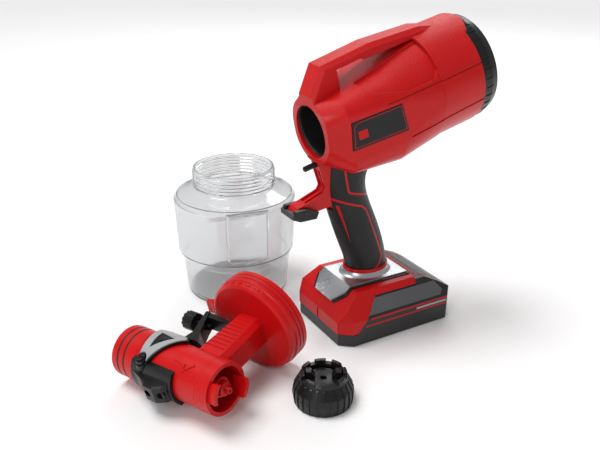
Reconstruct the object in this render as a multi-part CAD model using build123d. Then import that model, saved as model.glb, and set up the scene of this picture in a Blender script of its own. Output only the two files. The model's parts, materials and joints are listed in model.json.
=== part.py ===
from build123d import *
import math
import os

# A cordless paint sprayer taken apart: power unit with its battery, spray head, container, union nut.
# Millimetres. Origin under the middle of the battery, +X to the rear, -X the way it sprays, +Z up.

# ------------------------------------------------------------------ driving dimensions
GAP = 0.3                         # clearance between pieces that move past each other
WALL = 2.6                        # housing wall

# Barrel, in its own frame: x from the air outlet to the rear, z square to it.
BARREL_TILT = 14.5                # the barrel rises to the rear, in degrees
MOUTH = (-71.0, 0.0, 187.0)       # middle of the air outlet
MOUTH_LEAN = 4.6                  # the outlet's face leans back from the barrel's square section
NOSE_SECTION = (-4.0, 25.5, -25.5, 25.5, 25.2)      # x, half width, bottom, top, corner radius
CHIN_SECTION = (16.0, 36.0, -37.5, 27.0, 14.0)
WAIST_SECTION = (60.0, 43.0, -45.0, 34.0, 25.0)
HIP_SECTION = (101.0, 46.3, -45.8, 43.5, 43.0)
DRUM_RADIUS = 47.0
DRUM_Z = 0.8
DRUM_END = 142.0
COVER_END = 160.0
COVER_RADIUS = 46.4
CAVITY_START = 17.0
SOCKET_BORE = 21.08               # takes the spray head's spigot
SOCKET_OUTER = 24.0
SOCKET_END = 30.0
DUCT_OUTER = 22.0
DUCT_WALL = 1.8
PLUNGER_Z = -28.4
PLUNGER_RADIUS = 2.4
SWITCH_START = 30.6

# Turbine
SHAFT_RADIUS = 2.5
SHAFT_START, SHAFT_END = 40.0, 131.0
NUT_START = 124.8
MOTOR_RADIUS = 14.5
MOTOR_START, MOTOR_END = 46.0, 82.0
CASE_START, CASE_MIDDLE, CASE_END = 87.0, 112.0, 131.0
CASE_RADIUS = 42.2
IMPELLER_RADIUS = 37.0
BLADES = 9

# Handle: height, middle in X, half length, half width of each section
GRIP_SECTIONS = (
    (53.2, -13.0, 20.5, 16.0),
    (68.0, -15.5, 20.5, 16.5),
    (92.0, -24.0, 21.5, 16.5),
    (110.0, -31.0, 21.0, 16.0),
    (128.0, -37.0, 20.0, 15.0),
    (146.0, -38.0, 20.0, 15.5),
    (160.0, -30.0, 29.0, 17.5),
)
RUBBER = 1.8                      # thickness of the grip's overmould

# Foot and battery
LATCH_PIVOT = (-82.0, 121.6)          # X and Z of the clip's pin
FOOT_FRONT, FOOT_REAR = -63.0, 20.0
FOOT_HALF = 42.5
DECK_TOP = 46.5
DECK_UNDER = 40.6
CORNER_CUT = 9.0
BATTERY_FRONT, BATTERY_REAR = -62.0, 60.0
BATTERY_SPLIT = 11.5
RAIL_HALF = 19.6
RAIL_NECK = 14.6
RAIL_TOP = 44.6
RELEASE_FRONT, RELEASE_SEAT = 52.5, 58.5
RELEASE_TRAVEL = 3.0
CELL_RADIUS = 9.05
CELL_PITCH = 18.4
CELL_START = -33.2
CELL_LENGTH = 65.0
CONTACT_ROWS = (-9.0, -3.0, 3.0, 9.0)
BATTERY_SCREWS = ((-36, -38.6), (-36, 38.6), (44, -38.6), (44, 38.6))

# Screws that close the housing: X, Z and how far out their heads sit
HANDLE_SCREWS = ((-24.0, 97.0, 11.0), (-33.0, 138.0, 11.0))
FOOT_SCREWS = ((-50.0, 24.0, 33.0), (-40.0, 36.0, 33.0))
BAR_SCREWS = ((-65.5, 225.6, 8.0), (28.5, 260.0, 8.0))

# Spray head, in its own frame: x back from its front face, z away from the lid
HEAD_FRONT = (-188.4, -79.7)      # middle of the front face on the floor plan
HEAD_HEIGHT = 29.9                # its height as the head lies on the floor
HEAD_BACK = (-0.392, 0.917, -0.078)
LID_WAY = (0.896, 0.400, 0.192)
TUBE_RADIUS = 20.6
TUBE_BORE = 17.4
TAB_TURN = 30.0
TUBE_LENGTH = 104.0
THREAD_CREST = 20.8
SPIGOT_RADIUS = 21.0
SPIGOT_START = 80.0
LID_X = 29.0
LID_FACE, LID_RIM = -64.0, -83.0
LID_RADIUS = 42.0
TRIGGER_PIVOT = (67.0, 17.0)
YOKE_INNER = (21.4, 23.0)         # half width and half height of the trigger's band round the tube
YOKE_WALL = 1.8
PLATE_WALL = 0.9
NEEDLE_RADIUS = 1.2
CROSSBAR_X = 60.0
CROSSBAR_TRAVEL = 3.6
O_RING_AT = (90.0, 97.0)
BRACKET_SCREWS = (41.0, 53.0)
KNOB_Z = -50.0
KNOB_STEM = 2.5

# Container and nut
JAR_AT = (-88.3, 118.1)
JAR_HEIGHT = 126.0
JAR_WALL = 2.0
JAR_THREAD = 39.6
PANEL_ANGLE = -101.7
NUT_AT = (-112.0, -91.5)
NUT_RADIUS = 24.2
NUT_BORE = 21.0
NUT_HEIGHT = 26.0
HORN_TURN = -30.0

LOW = (Align.CENTER, Align.CENTER, Align.MIN)
CORNER = (Align.MIN, Align.MIN, Align.MIN)

os.makedirs("parts", exist_ok=True)


# ------------------------------------------------------------------ helpers
def rod(radius, start, end, y=0.0, z=0.0):
    """Cylinder along X."""
    return Pos(start, y, z) * Rot(0, 90, 0) * Cylinder(radius, end - start, align=LOW)


def pipe(outer, inner, start, end, y=0.0, z=0.0):
    """Tube along X."""
    return rod(outer, start, end, y, z) - rod(inner, start - 1, end + 1, y, z)


def cross_rod(radius, x, z, start, end):
    """Cylinder along Y."""
    return Pos(x, start, z) * Rot(-90, 0, 0) * Cylinder(radius, end - start, align=LOW)


def post(radius, x, y, start, end):
    """Cylinder along Z."""
    return Pos(x, y, start) * Cylinder(radius, end - start, align=LOW)


def block(x0, x1, y0, y1, z0, z1):
    return Pos(x0, y0, z0) * Box(x1 - x0, y1 - y0, z1 - z0, align=CORNER)


def side_slab(points, half_width):
    """Outline given in X and Z, as thick to each side of the middle plane."""
    outline = make_face(Polyline(*points, close=True))
    return extrude(Plane.XZ * outline, amount=half_width, both=True)


def plan_slab(points, bottom, top):
    """Outline given in X and Y, from bottom to top."""
    outline = make_face(Polyline(*points, close=True))
    return extrude(Pos(0, 0, bottom) * outline, amount=top - bottom)


def front_slab(points, start, end):
    """Outline given in Y and Z, from start to end along X."""
    plane = Plane(origin=(start, 0, 0), x_dir=(0, 1, 0), z_dir=(1, 0, 0))
    outline = make_face(Polyline(*points, close=True))
    return extrude(plane * outline, amount=end - start)


def turned(points):
    """Revolve an outline of (radius, height) about Z."""
    outline = make_face(Polyline(*points, close=True))
    return revolve(Plane.XZ * outline, axis=Axis.Z)


def turned_along_x(points):
    """Revolve an outline of (x, radius) about X."""
    outline = make_face(Polyline(*points, close=True))
    return revolve(Plane.XZ * outline, axis=Axis.X)


def mirrored(piece):
    return mirror(piece, about=Plane.XZ)


def near_half(piece):
    """The half at -Y."""
    return piece & block(-400, 400, -400, 0, -400, 400)


def far_half(piece):
    """The half at +Y."""
    return piece & block(-400, 400, 0, 400, -400, 400)


def coil(radius, wire, start, end, turns, z=0.0):
    """Spring along X, as a row of closed rings joined in one solid by a thin backbone."""
    pitch = (end - start - 2 * wire) / turns
    spring = block(start + wire, end - wire, radius - wire * 1.1, radius + wire * 1.1, z - wire, z + wire)
    for i in range(turns + 1):
        spring += Pos(start + wire + i * pitch, 0, z) * Rot(0, 90, 0) * Torus(radius, wire)
    return spring


def save(name, *pieces):
    """Write one node; every piece is kept as its own solid."""
    solids = []
    for piece in pieces:
        solids.extend(piece.solids())
    export_step(Compound(children=solids), f"parts/{name}.step")


tilt = math.radians(BARREL_TILT)
BARREL = Plane(
    origin=MOUTH,
    x_dir=(math.cos(tilt), 0, math.sin(tilt)),
    z_dir=(-math.sin(tilt), 0, math.cos(tilt)),
).location

HEAD = Plane(
    origin=(*HEAD_FRONT, HEAD_HEIGHT),
    x_dir=HEAD_BACK,
    z_dir=tuple(-c for c in LID_WAY),
).location


# ------------------------------------------------------------------ power unit: housing
def barrel_section(section, depth):
    x, half_width, bottom, top, corner = section
    plane = Plane(origin=(x, 0, (bottom + top) / 2), x_dir=(0, 1, 0), z_dir=(1, 0, 0))
    return plane * RectangleRounded(
        2 * (half_width - depth), top - bottom - 2 * depth, corner - depth
    )


def barrel_form(depth=0.0):
    """Outer form of the barrel, drawn in by depth."""
    sections = (NOSE_SECTION, CHIN_SECTION, WAIST_SECTION, HIP_SECTION)
    waist = loft([barrel_section(s, depth) for s in sections], ruled=True)
    drum = rod(DRUM_RADIUS - depth, HIP_SECTION[0], DRUM_END, z=DRUM_Z)
    return waist + drum


def cavity():
    """Room inside the barrel."""
    chin = (CAVITY_START, *CHIN_SECTION[1:])
    hip = (HIP_SECTION[0] + 0.5, *HIP_SECTION[1:])
    room = loft([barrel_section(s, WALL) for s in (chin, WAIST_SECTION, hip)], ruled=True)
    room += rod(DRUM_RADIUS - WALL, HIP_SECTION[0], DRUM_END - 8, z=DRUM_Z)
    room += rod(DRUM_RADIUS - 4.4, DRUM_END - 9, DRUM_END + 20, z=DRUM_Z)
    return room


def carry_bar():
    """Carry handle over the barrel, on a post behind the outlet."""
    outline = [
        (-1.0, 12), (-0.6, 29), (15.5, 51.5), (62, 54.2), (112, 51.0), (126, 46.6), (126, 30),
        (101, 30), (60, 12),
    ]
    bar = side_slab(outline, 12)
    edges = bar.edges().filter_by(
        lambda e: e.center().Z > 39 and abs(abs(e.center().Y) - 12) < 0.01 and e.center().X < 125
    )
    bar = chamfer(edges, 3.6)
    window = side_slab(
        [(27.5, 44.6), (50, 46), (53.5, 44), (84, 44.2), (103, 44.2), (103, -20), (26.5, -20)], 30
    )
    return bar - window


def rear_tongues(grow=0.0):
    """Tongues of the housing that overlap the filter cover above and below."""
    ring = pipe(DRUM_RADIUS, DRUM_RADIUS - 2.4 - grow, DRUM_END - 1, DRUM_END + 14, z=DRUM_Z)
    top = plan_slab(
        [(DRUM_END - 2, -30 - grow), (DRUM_END + 3 + grow, -26 - grow), (DRUM_END + 9 + grow, -15 - grow),
         (DRUM_END + 9 + grow, 15 + grow), (DRUM_END + 3 + grow, 26 + grow), (DRUM_END - 2, 30 + grow)],
        20, 60,
    )
    bottom = plan_slab(
        [(DRUM_END - 2, -20 - grow), (DRUM_END + 6 + grow, -17 - grow),
         (DRUM_END + 6 + grow, 17 + grow), (DRUM_END - 2, 20 + grow)],
        -60, -20,
    )
    return ring & (top + bottom)


def side_grooves():
    """Panel line along each side and the recessed shoulder above it."""
    line = side_slab([(50, 13.3), (50, 14.7), (DRUM_END + 1, 16.2), (DRUM_END + 1, 14.8)], 60)
    ledge = side_slab([(66, -20.6), (66, -19.2), (DRUM_END + 1, -15.2), (DRUM_END + 1, -16.6)], 60)
    shoulder = side_slab([(38, 25.5), (72, 17), (96, 17.4), (100.9, 23), (100.9, 60), (38, 60)], 60)
    shoulder -= side_slab([(0, -60), (0, 60), (200, 60), (200, -60)], 14)
    shallow = (line + ledge) & (barrel_form() - barrel_form(1.0))
    return shallow + (shoulder & (barrel_form() - barrel_form(1.6)))


def badge_shape(margin=0.0):
    """Four-cornered badge on the near side, following the slant of the barrel's flank."""
    m = margin
    outline = [(14.5 + m, -13.5 + m), (17.5 + m, 9.8 - m), (61.5 - m, 10.8 - m), (64 - m, -12.8 + m)]
    return near_half(side_slab(outline, 60) & (barrel_form(-0.4) - barrel_form(1.2)))


def grip_form(depth=0.0):
    """Outer form of the handle, drawn in by depth."""
    faces = []
    for height, middle, half_length, half_width in GRIP_SECTIONS:
        faces.append(Pos(middle, 0, height) * Ellipse(half_length - depth, half_width - depth))
    return loft(faces)


def trim_lines():
    """The thin lines of the handle's core that show between the rubber pads."""
    upper = [(-50.2, 170), (-48.0, 156), (-43.6, 135), (-41.5, 132.4), (-10, 123.5),
             (-10, 125.3), (-40.6, 134.1), (-42.0, 135.6), (-46.4, 156.4), (-48.6, 170)]
    lower = [(-60, 128.8), (-28.8, 118.2), (-24.6, 114.4), (-6.2, 68.0), (-9.8, 60.0), (-20, 52),
             (-17.4, 52), (-8.2, 59.4), (-4.4, 68.2), (-23.2, 115.2), (-28.2, 120.0), (-60, 130.8)]
    wedge = [(-52.0, 122.5), (-49.6, 122.0), (-36.5, 84.0)]
    lines = side_slab(upper, 30) + side_slab(lower, 30) + side_slab(wedge, 30)
    return lines & block(-100, 100, -40, 40, 55.5, 180)


def bracket_arm():
    """Arm down the handle's front and forward to the latch clip."""
    outline = [
        (-68.5, 166), (-65, 152), (-60.5, 138.5), (-62.5, 134.5), (-80.5, 127.2), (-87, 125.2),
        (-89.5, 121.5), (-86, 117.8), (-72.5, 118.8), (-57, 121), (-50, 124), (-47, 132), (-47, 166),
    ]
    arm = side_slab(outline, 6.5)
    hollow = side_slab([(-70, 160), (-63.2, 152), (-58.5, 138.2), (-61.5, 132.6), (-78, 126),
                        (-79, 130), (-75, 170)], 5.2)
    rib = side_slab([(-66.6, 158), (-63.8, 150), (-59.6, 138), (-61.6, 134.4), (-80, 126.8),
                     (-76, 122), (-55, 130), (-55, 158)], 1.0)
    return (arm - hollow) + (rib & arm) - cross_rod(1.5, *LATCH_PIVOT, -20, 20)


def foot_form():
    """Faceted foot over the front of the battery."""
    side = side_slab(
        [(FOOT_FRONT, 12.2), (FOOT_FRONT, 23), (-57, 33.5), (-42.5, DECK_TOP), (FOOT_REAR, DECK_TOP),
         (FOOT_REAR, DECK_UNDER), (-24.8, DECK_UNDER), (-46.2, 12.2)], 60)
    front = front_slab(side_profile(FOOT_HALF), FOOT_FRONT, FOOT_REAR)
    return side & front & plan_outline(FOOT_FRONT, FOOT_REAR, 0, 60)


def side_profile(half):
    """Cross-section shared by the foot and the battery: upright sides, sloping shoulders."""
    slope = (half - 31.0) / 23.0
    top = half - slope * 26.0
    return [(-half, 0), (-half, 24), (-top, 50), (top, 50), (half, 24), (half, 0)]


def plan_outline(front, rear, bottom, top):
    """Plan shape with cut corners at the front."""
    c = CORNER_CUT
    h = FOOT_HALF
    return plan_slab(
        [(front, -h + c), (front + c + 2, -h), (rear, -h), (rear, h), (front + c + 2, h), (front, h - c)],
        bottom, top,
    )


def rail_channel():
    """T-shaped channel that the battery's rail slides in."""
    deep = block(-30, FOOT_REAR + 1, -RAIL_HALF - GAP, RAIL_HALF + GAP, 42.2, RAIL_TOP + GAP)
    neck = block(-30, FOOT_REAR + 1, -RAIL_NECK - GAP, RAIL_NECK + GAP, 30, 43)
    return deep + neck + block(-34, -28, -13, 13, 41.2, 45.6)


def nose_openings():
    """Outlet face, socket seat and plunger hole."""
    face = Rot(0, MOUTH_LEAN, 0) * block(-60, -0.6, -80, 80, -24, 31)
    seat = rod(22.3, -20, 1.6) + rod(SOCKET_OUTER, 1.6, CAVITY_START + 1)
    return face + seat + rod(PLUNGER_RADIUS + GAP, -30, CAVITY_START + 1, z=PLUNGER_Z)


def handle_core():
    """Hard core of the handle with its collar, trim lines and arm."""
    core = grip_form(RUBBER)
    core += trim_lines() & (grip_form() - grip_form(RUBBER + 0.5))
    core += Pos(-13, 0, 53.2) * extrude(Ellipse(21.6, 17.1), amount=3.2)
    core += Pos(-13, 0, DECK_TOP - 1) * extrude(Ellipse(17.5, 13.2), amount=9)
    core -= grip_form(RUBBER + WALL) & block(-100, 100, -100, 100, 60, 156)
    return core + bracket_arm() + screw_bosses()


def housing():
    """Both halves of the housing in one piece, before they are parted."""
    barrel = barrel_form() + carry_bar() + rear_tongues() - side_grooves() - badge_shape()
    body = BARREL * barrel + handle_core()
    body -= BARREL * (cavity() + nose_openings())
    body += foot_form()
    seam_slot = block(FOOT_FRONT - 1, FOOT_FRONT + 1.6, -0.9, 0.9, 10, 22.5)
    return body - rail_channel() - screw_seats() - seam_slot


def screw_bosses():
    """Posts across the handle's hollow for the screws that run through it."""
    bosses = Part()
    for x, z, head in HANDLE_SCREWS:
        bosses += cross_rod(4.0, x, z, -head - 4, head + 4)
    return bosses & (grip_form(RUBBER) + bracket_arm())


def screw_seats():
    """Holes and counterbores from the far side."""
    seats = Part()
    for x, z, head in HANDLE_SCREWS + FOOT_SCREWS + BAR_SCREWS:
        seats += cross_rod(1.6, x, z, -4.5, head + 1)
        seats += cross_rod(3.1, x, z, head, 60)
    return seats


def housing_screws():
    """Pan-head screws, heads on the far side."""
    screws = []
    for x, z, head in HANDLE_SCREWS + FOOT_SCREWS + BAR_SCREWS:
        screw = cross_rod(1.5, x, z, -4, head + 0.2)
        screw += cross_rod(2.9, x, z, head, head + 1.8)
        screw -= block(x - 2, x + 2, head + 1.0, head + 3, z - 0.4, z + 0.4)
        screws.append(screw)
    return screws


# ------------------------------------------------------------------ power unit: air outlet and turbine
def outlet_socket():
    """Rubber-lined socket that the spray head's spigot pushes into."""
    socket = pipe(SOCKET_OUTER - 0.02, SOCKET_BORE, 1.6, SOCKET_END)
    stop = pipe(SOCKET_BORE + 0.5, 18.6, 26, SOCKET_END)
    lead_in = turned_along_x([(1, SOCKET_BORE), (1, 22.2), (3.2, SOCKET_BORE)])
    return socket + stop - lead_in


def motor_duct():
    """Air duct from the turbine to the outlet, with two spoked rings that hold the motor."""
    outline = [
        (SOCKET_END, 18.6), (SOCKET_END, SOCKET_OUTER), (SOCKET_END + 4, SOCKET_OUTER - 1),
        (SOCKET_END + 6, DUCT_OUTER), (CASE_START, DUCT_OUTER), (CASE_START, DUCT_OUTER - DUCT_WALL),
        (SOCKET_END + 4, DUCT_OUTER - DUCT_WALL),
    ]
    duct = turned_along_x(outline)
    for start in (MOTOR_START + 4, MOTOR_END - 10):
        duct += pipe(MOTOR_RADIUS + 1.6, MOTOR_RADIUS, start, start + 6)
        for i in range(3):
            spoke = block(start, start + 6, -1, 1, MOTOR_RADIUS + 1, DUCT_OUTER - 1)
            duct += Rot(90 + 120 * i, 0, 0) * spoke
    return duct


def motor_can():
    can = pipe(MOTOR_RADIUS, MOTOR_RADIUS - 1.2, MOTOR_START, MOTOR_END)
    for start in (MOTOR_START, MOTOR_END - 2):
        can += pipe(MOTOR_RADIUS - 0.6, 5.0, start, start + 2)
    for i in range(6):
        vent = Rot(60 * i, 0, 0) * rod(1.6, MOTOR_START - 1, MOTOR_END + 1, z=9)
        can -= vent
    return can


def motor_stator():
    ring = pipe(MOTOR_RADIUS - 1.2, 10.6, MOTOR_START + 6, MOTOR_END - 6)
    for i in range(6):
        tooth = block(MOTOR_START + 6, MOTOR_END - 6, -1.6, 1.6, 9.0, 11)
        ring += Rot(60 * i, 0, 0) * tooth
    return ring


def motor_coils():
    """One winding between each pair of stator teeth."""
    coils = []
    for i in range(6):
        winding = block(MOTOR_START + 4, MOTOR_END - 4, -2.0, 2.0, 9.3, 10.4)
        coils.append(Rot(30 + 60 * i, 0, 0) * winding)
    return coils


def motor_armature():
    core = pipe(8.4, SHAFT_RADIUS, MOTOR_START + 6, MOTOR_END - 6)
    for i in range(6):
        core -= Rot(60 * i, 0, 0) * block(MOTOR_START, MOTOR_END, -0.6, 0.6, 6.6, 9)
    return core


def bearings():
    """Bearings at the motor's ends and at the rear of the turbine."""
    places = (MOTOR_START - 1, MOTOR_END - 3, CASE_END - 3)
    return [pipe(5.0, SHAFT_RADIUS + 0.05, start, start + 4) for start in places]


def impeller(start, hub_end):
    """Closed centrifugal impeller, blades swept backward."""
    wheel = pipe(6.5, SHAFT_RADIUS, start, hub_end)
    wheel += pipe(IMPELLER_RADIUS, SHAFT_RADIUS, start, start + 1.4)
    for i in range(BLADES):
        blade = block(start + 1, start + 8, 5.5, IMPELLER_RADIUS - 0.6, -0.7, 0.7)
        blade = Rot(360 / BLADES * i, 0, 0) * Pos(0, 0, 5) * blade
        wheel += blade & rod(IMPELLER_RADIUS, start, start + 9)
    shroud = pipe(IMPELLER_RADIUS, 16, start + 7.6, start + 8.6)
    return wheel + shroud


def motor_shaft():
    """Shaft with the nut that clamps the second impeller."""
    hexagon = Rot(0, 90, 0) * extrude(RegularPolygon(5.0, 6), amount=2.8)
    nut = Pos(NUT_START, 0, 0) * hexagon - rod(SHAFT_RADIUS, NUT_START - 1, SHAFT_END + 1)
    return [rod(SHAFT_RADIUS, SHAFT_START, SHAFT_END), nut]


def fan_case_front():
    """Front of the turbine case, a cone that leads into the duct."""
    outer = [
        (CASE_START, 18), (CASE_START, 33), (101.0, 38.6), (101.8, CASE_RADIUS),
        (CASE_MIDDLE, CASE_RADIUS), (CASE_MIDDLE, CASE_RADIUS - 1.8), (103.0, CASE_RADIUS - 1.8),
        (101.6, 36.8), (CASE_START + 1.8, 31.4), (CASE_START + 1.8, 18),
    ]
    return turned_along_x(outer)


def diffuser():
    """Plate between the two stages, with return vanes."""
    plate = pipe(CASE_RADIUS, 9, CASE_MIDDLE, CASE_MIDDLE + 1.4)
    for i in range(8):
        vane = block(CASE_MIDDLE + 1, CASE_MIDDLE + 3.6, 11, 30, -0.6, 0.6)
        plate += Rot(45 * i, 0, 0) * Pos(0, 0, 6) * vane
    for i in range(12):
        port = rod(1.8, CASE_MIDDLE - 1, CASE_MIDDLE + 4, z=39)
        plate -= Rot(30 * i, 0, 0) * port
    return plate


def fan_case_rear():
    """Rear of the turbine case, with the air inlet and the rear bearing's spider."""
    start = CASE_MIDDLE + 1.4
    case = pipe(CASE_RADIUS, CASE_RADIUS - 1.8, start, CASE_END)
    case += pipe(CASE_RADIUS - 1, 14, CASE_END - 1.6, CASE_END)
    case += pipe(7.0, 5.0, CASE_END - 3, CASE_END + 1)
    for i in range(3):
        arm = block(CASE_END - 1.6, CASE_END, -1.5, 1.5, 6, 15)
        case += Rot(120 * i, 0, 0) * arm
    return case


def air_filter():
    """Pleated ring of foam behind the inlet grille."""
    ring = pipe(39.4, 16, DRUM_END - 7.8, DRUM_END + 8)
    for i in range(24):
        ring -= Rot(15 * i, 0, 0) * block(DRUM_END - 9, DRUM_END - 2, -0.9, 0.9, 20, 36)
    return Pos(0, 0, DRUM_Z) * ring


def filter_cover():
    """Round cover over the air filter at the rear, with ribs round its rim and slots in its face."""
    front = DRUM_END + GAP
    outline = [
        (DRUM_END - 7, 40.0), (DRUM_END - 7, 42.2), (front, 42.2), (front, COVER_RADIUS),
        (DRUM_END + 9, COVER_RADIUS - 0.3), (DRUM_END + 16, COVER_RADIUS - 2.4),
        (COVER_END, COVER_RADIUS - 6.0), (COVER_END, 0.0), (COVER_END - 2.4, 0.0),
        (COVER_END - 2.4, COVER_RADIUS - 8.6), (DRUM_END + 13, COVER_RADIUS - 5.0), (DRUM_END + 9, 40.0),
    ]
    cover = Pos(0, 0, DRUM_Z) * turned_along_x(outline)
    for i in range(36):
        notch = block(DRUM_END + 2.5, COVER_END + 1, -1.0, 1.0, COVER_RADIUS - 0.8, 60)
        cover -= Pos(0, 0, DRUM_Z) * Rot(10 * i, 0, 0) * notch
    for i in range(-4, 5):
        reach = math.sqrt(34.0 ** 2 - (7.0 * i) ** 2)
        slot = block(COVER_END - 4, COVER_END + 1, -reach, reach, 7.0 * i - 1.3, 7.0 * i + 1.3)
        cover -= Pos(0, 0, DRUM_Z) * (slot - block(COVER_END - 9, COVER_END + 9, -1.5, 1.5, -60, 60))
    return cover - rear_tongues(GAP)


# ------------------------------------------------------------------ power unit: switch under the outlet
def switch_plunger():
    plunger = rod(PLUNGER_RADIUS, -14.5, 31, z=PLUNGER_Z)
    plunger += rod(3.9, CAVITY_START + GAP, CAVITY_START + 2.3, z=PLUNGER_Z)
    return chamfer(plunger.edges().sort_by(Axis.X)[0], 0.8)


def plunger_spring():
    return coil(3.2, 0.35, CAVITY_START + 2.4, SWITCH_START - 0.1, 5, z=PLUNGER_Z)


def switch_carrier():
    """Bracket that guides the plunger and holds the switch."""
    carrier = block(SWITCH_START, SWITCH_START + 22, -8, 8, PLUNGER_Z - 8.6, PLUNGER_Z + 4.2)
    carrier -= block(SWITCH_START + 3, SWITCH_START + 30, -6, 6, PLUNGER_Z - 7, PLUNGER_Z + 9)
    return carrier - rod(PLUNGER_RADIUS + GAP, 0, SWITCH_START + 4, z=PLUNGER_Z)


def micro_switch():
    start = SWITCH_START + 7.5
    body = block(start, start + 13, -5.9, 5.9, PLUNGER_Z - 6.9, PLUNGER_Z + 3.4)
    for y in (-4, 0, 4):
        body += block(start + 13, start + 18, y - 0.3, y + 0.3, PLUNGER_Z - 3, PLUNGER_Z - 1)
    return body


# ------------------------------------------------------------------ power unit: handle and foot
def grip_sleeve():
    """Rubber pads over the handle, either side of its trim lines."""
    sleeve = grip_form() - grip_form(RUBBER)
    sleeve &= block(-120, 60, -60, 60, 56.6, 170)
    sleeve -= BARREL * barrel_form()
    sleeve -= trim_lines()
    sleeve -= block(-120, -48, -6.5, 6.5, 117, 170)
    return sleeve - screw_seats()


def deck_band(inset, lift, thickness):
    """Outline of a plate laid over the deck and down its sloping front."""
    rise = lift + thickness
    rear = FOOT_REAR - inset
    return [
        (-57.0 - 0.668 * lift, 33.5 + 0.745 * lift), (-57.0 - 0.668 * rise, 33.5 + 0.745 * rise),
        (-42.5 - 0.383 * rise, DECK_TOP + rise), (rear, DECK_TOP + rise), (rear, DECK_TOP + lift),
        (-42.5 - 0.383 * lift, DECK_TOP + lift),
    ]


def foot_trim():
    """Black surround under the plate."""
    band = side_slab(deck_band(0.4, 0.0, 0.95), 24.5)
    plan = plan_slab(
        [(-62, -13), (-49, -24.5), (FOOT_REAR, -24.5), (FOOT_REAR, 24.5), (-49, 24.5), (-62, 13)], 20, 60
    )
    return (band & plan) - stem_hole()


def stem_hole():
    return Pos(-13, 0, 40) * extrude(Ellipse(18.0, 13.6), amount=30)


def foot_plate():
    """Bright plate on the deck, with the handle's collar standing on it."""
    band = side_slab(deck_band(1.6, 0.95, 1.3), 22)
    plan = plan_slab(
        [(-60, -11.5), (-48, -22), (FOOT_REAR, -22), (FOOT_REAR, 22), (-48, 22), (-60, 11.5)], 20, 60
    )
    plate = band & plan
    collar = loft([
        Pos(-13, 0, 48.6) * Ellipse(26.0, 20.6),
        Pos(-13, 0, 50.2) * Ellipse(22.6, 18.0),
        Pos(-13, 0, 53.2) * Ellipse(20.6, 16.2),
    ])
    return plate + collar - stem_hole()


def latch_clip():
    """Sprung loop at the arm's end that catches the spray head."""
    x, z = LATCH_PIVOT
    cheek = side_slab([(x - 9, z + 3), (x - 11.6, z - 3.5), (x - 5, z - 6.5), (x + 10.5, z - 6.6),
                       (x + 13, z - 1), (x + 3, z + 3.4)], 11)
    cheek -= side_slab([(x - 60, z - 60), (x - 60, z + 60), (x + 60, z + 60), (x + 60, z - 60)], 7)
    bar = block(x - 11.6, x - 8.3, -11, 11, z - 4, z + 0.5)
    pad = side_slab([(x - 2, z - 6.6), (x - 2, z - 4.8), (x + 9, z - 4.4), (x + 12, z - 3.6),
                     (x + 10.5, z - 6.6)], 11)
    return cheek + bar + pad - cross_rod(1.58, x, z, -20, 20)


def latch_pin():
    x, z = LATCH_PIVOT
    return cross_rod(1.5, x, z, -11.4, 11.4)


def terminal_block():
    """Block with four blades that the battery's contacts slide over."""
    holder = block(-34, -28, -13, 13, 41.2, 45.6)
    blades = [block(-28, -15, y - 0.5, y + 0.5, 42.8, 44.2) for y in CONTACT_ROWS]
    return [holder, *blades]


def control_board():
    """Motor controller, upright in the handle's hollow."""
    board = block(-21, -12.5, -0.8, 0.8, 64, 84)
    for z in (67, 73, 79):
        board += block(-20, -14, 0.5, 4.0, z, z + 4)
    return board


# ------------------------------------------------------------------ battery
def battery_form():
    """Outer form of the battery, square to the foot above it."""
    side = side_slab(
        [(BATTERY_FRONT, 0), (BATTERY_FRONT, BATTERY_SPLIT), (-46.4, BATTERY_SPLIT), (-25.1, 40.0),
         (FOOT_REAR, 40.0), (FOOT_REAR + 0.5, 44.4), (31, 44.4), (46, 37), (58, 29.5),
         (BATTERY_REAR, 26), (BATTERY_REAR, 0)], 60)
    cross = front_slab(side_profile(FOOT_HALF), BATTERY_FRONT, BATTERY_REAR)
    c = CORNER_CUT
    h = FOOT_HALF
    plan = plan_slab(
        [(BATTERY_FRONT, -h + c), (BATTERY_FRONT + c + 2, -h), (BATTERY_REAR - c, -h),
         (BATTERY_REAR, -h + c), (BATTERY_REAR, h - c), (BATTERY_REAR - c, h),
         (BATTERY_FRONT + c + 2, h), (BATTERY_FRONT, h - c)], -1, 60)
    return side & cross & plan


def battery_rail():
    """T-shaped rail on top, with slots for the contacts."""
    rail = block(-24.5, FOOT_REAR + 1, -RAIL_NECK, RAIL_NECK, 39, 42.7)
    rail += block(-24.5, FOOT_REAR + 1, -RAIL_HALF, RAIL_HALF, 42.5, RAIL_TOP)
    for y in CONTACT_ROWS:
        rail -= block(-30, -12, y - 1.4, y + 1.4, 41.8, 50)
    return rail


def battery_hollow():
    return side_slab([(-43.5, 2.5), (-43.5, 14.5), (-32.5, 31.5), (44, 31.5), (50, 26), (50, 2.5)], 35.5)


def battery_base():
    base = battery_form() & block(-80, 80, -60, 60, 0, BATTERY_SPLIT)
    base -= battery_hollow()
    for x, y in BATTERY_SCREWS:
        base -= post(1.6, x, y, -1, 40)
        base -= post(3.1, x, y, -1, 2.5)
    return chamfer(base.faces().sort_by(Axis.Z)[0].outer_wire().edges(), 0.8)


def battery_top():
    top = battery_form() & block(-80, 80, -60, 60, BATTERY_SPLIT, 60)
    top += battery_rail()
    top -= battery_hollow()
    top -= release_pocket()
    top -= bar_slots()
    top -= trim_slots()
    for x, y in BATTERY_SCREWS:
        top -= post(1.4, x, y, 10, 20)
    return top


def battery_screws():
    screws = []
    for x, y in BATTERY_SCREWS:
        screws.append(post(1.35, x, y, 1, 19) + post(2.9, x, y, 0.7, 2.5))
    return screws


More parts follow.
